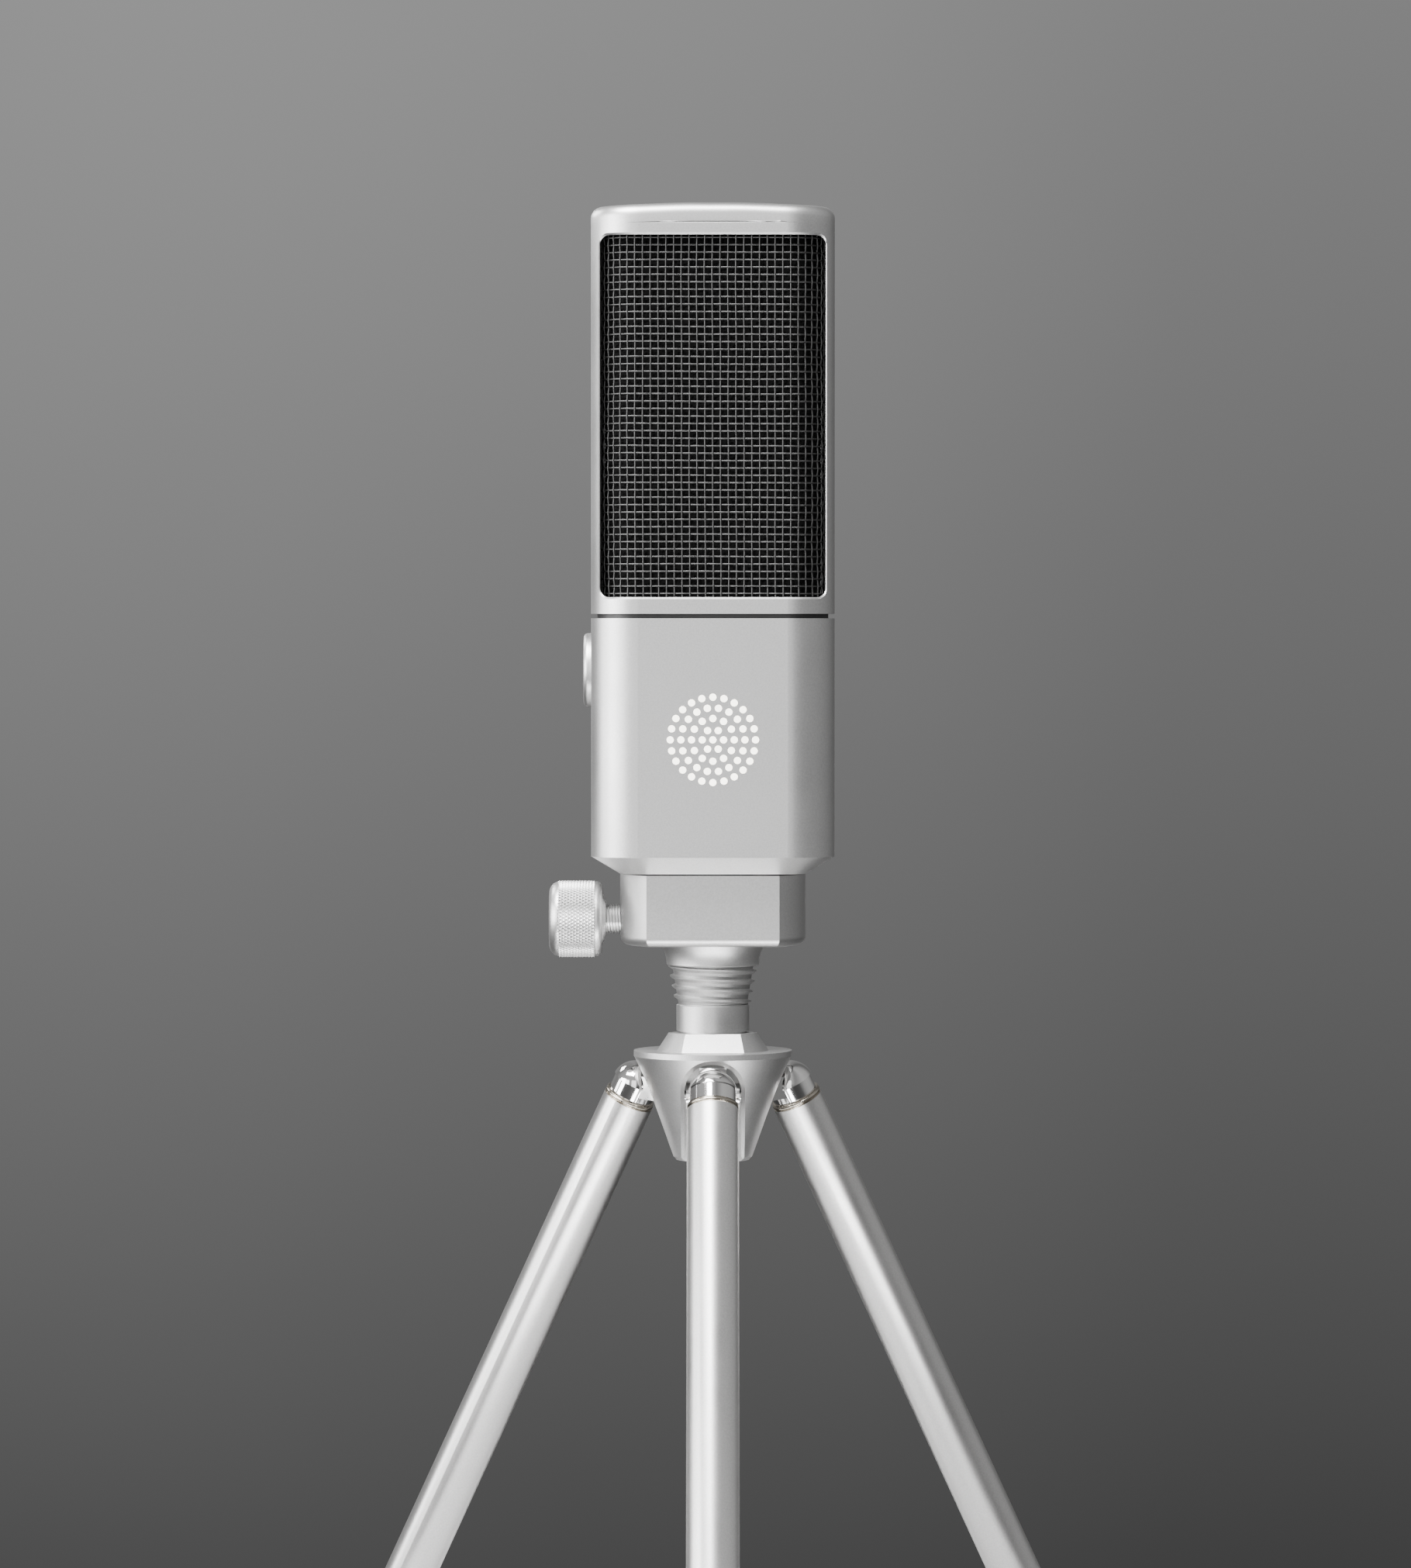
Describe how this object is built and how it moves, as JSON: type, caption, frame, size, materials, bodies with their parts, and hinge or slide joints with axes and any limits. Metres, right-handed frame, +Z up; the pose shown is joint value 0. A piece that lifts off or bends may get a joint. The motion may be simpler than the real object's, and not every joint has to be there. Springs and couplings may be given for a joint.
{
  "type": "desktop microphone",
  "caption": "Side-address desktop microphone with a mesh head and a side dial, clamped by a thumbscrew on a folding tripod.",
  "frame": {"origin": "on the desk, directly under the column's vertical axis", "axes": "+Z up, -Y towards the person who speaks, thumbscrew and dial on -X"},
  "size_m": [0.1752, 0.1535, 0.3341],
  "materials": {
    "satin_casing": "fine bead-blasted, clear anodised, satin",
    "satin_stand": "fine bead-blasted, clear anodised, satin",
    "satin_tube": "satin anodised tube",
    "polished_chrome": "polished",
    "bronze_ring": "dark bronze, satin",
    "rubber_foot": "matt moulded",
    "knurled_metal": "diamond knurled, satin",
    "woven_wire": "woven wire, satin grey",
    "black_foam": "open-cell foam",
    "black_plastic": "moulded, matt",
    "black_rubber": "matt",
    "brass_capsule": "turned, satin",
    "gold_film": "sputtered film",
    "milky_light": "translucent, lit softly from behind",
    "circuit_board": "solder mask",
    "chip_black": "moulded chip packages",
    "bare_steel": "plated, turned"
  },
  "bodies": {
    "stand": {"tripod_hub": "satin_stand", "hinge_pins": "bare_steel", "mount_stud": "bare_steel", "stud_nut": "bare_steel", "lock_collar": "satin_stand", "neck_stem": "satin_stand", "clamp_block": "satin_stand", "block_screw": "bare_steel", "swivel_washer": "black_plastic"},
    "microphone": {"swivel_spindle": "bare_steel", "spindle_screws": "bare_steel", "bottom_cap": "satin_casing", "bottom_cap_screws": "bare_steel", "body_shell": "satin_casing", "chassis": "bare_steel", "main_board": "circuit_board", "board_components": "chip_black", "board_screws": "bare_steel", "usb_socket": "bare_steel", "headphone_jack": "black_plastic", "light_diffuser": "milky_light", "led_board": "circuit_board", "encoder_body": "black_plastic", "encoder_board": "circuit_board", "mid_frame": "black_plastic", "mid_frame_screws": "bare_steel", "head_frame": "satin_casing", "mesh_basket": "woven_wire", "foam_liner": "black_foam", "capsule_post": "black_plastic", "capsule_cradle": "black_rubber", "capsule_housing": "brass_capsule", "capsule_diaphragm": "gold_film", "capsule_lead": "black_rubber", "top_cap": "satin_casing"},
    "encoder": {"encoder_rotor": "black_plastic"},
    "dial": {"dial_cap": "satin_casing", "encoder_shaft": "bare_steel"},
    "pad": {"clamp_pad": "brass_capsule"},
    "thumbscrew": {"thumbscrew_knob": "knurled_metal", "thumbscrew_shank": "knurled_metal"},
    "front_leg": {"front_leg_knuckle": "polished_chrome", "front_leg_ring": "bronze_ring", "front_leg_tube": "satin_tube", "front_leg_foot": "rubber_foot"},
    "right_leg": {"right_leg_knuckle": "polished_chrome", "right_leg_ring": "bronze_ring", "right_leg_tube": "satin_tube", "right_leg_foot": "rubber_foot"},
    "left_leg": {"left_leg_knuckle": "polished_chrome", "left_leg_ring": "bronze_ring", "left_leg_tube": "satin_tube", "left_leg_foot": "rubber_foot"}
  },
  "joints": [
    {"name": "mic_swivel", "type": "hinge", "parent": "stand", "child": "microphone", "pos_m": [0, 0, 0.1856], "axis": [0, 0, 1], "continuous": true},
    {"name": "pad_travel", "type": "slide", "parent": "stand", "child": "pad", "axis": [-1, 0, 0], "range_m": [0, 0.00254]},
    {"name": "screw_turn", "type": "hinge", "parent": "pad", "child": "thumbscrew", "pos_m": [0, 0, 0.1754], "axis": [-1, 0, 0], "range_deg": [0, 720]},
    {"name": "dial_turn", "type": "hinge", "parent": "microphone", "child": "encoder", "pos_m": [0, 0, 0.2311], "axis": [-1, 0, 0], "continuous": true},
    {"name": "dial_push", "type": "slide", "parent": "encoder", "child": "dial", "axis": [1, 0, 0], "range_m": [0, 0.0005], "stiffness_N_per_m": 800, "springref_m": -0.001},
    {"name": "front_leg_fold", "type": "hinge", "parent": "stand", "child": "front_leg", "pos_m": [0, -0.0094, 0.1363], "axis": [1, 0, 0], "range_deg": [0, 27.7]},
    {"name": "right_leg_fold", "type": "hinge", "parent": "stand", "child": "right_leg", "pos_m": [0.00814, 0.0047, 0.1363], "axis": [-0.5, 0.866, 0], "range_deg": [0, 27.7]},
    {"name": "left_leg_fold", "type": "hinge", "parent": "stand", "child": "left_leg", "pos_m": [-0.00814, 0.0047, 0.1363], "axis": [-0.5, -0.866, 0], "range_deg": [0, 27.7]}
  ],
  "couplings": [
    {"joint": "pad_travel", "follows": "screw_turn", "m_per_rad": 0.00020213}
  ]
}
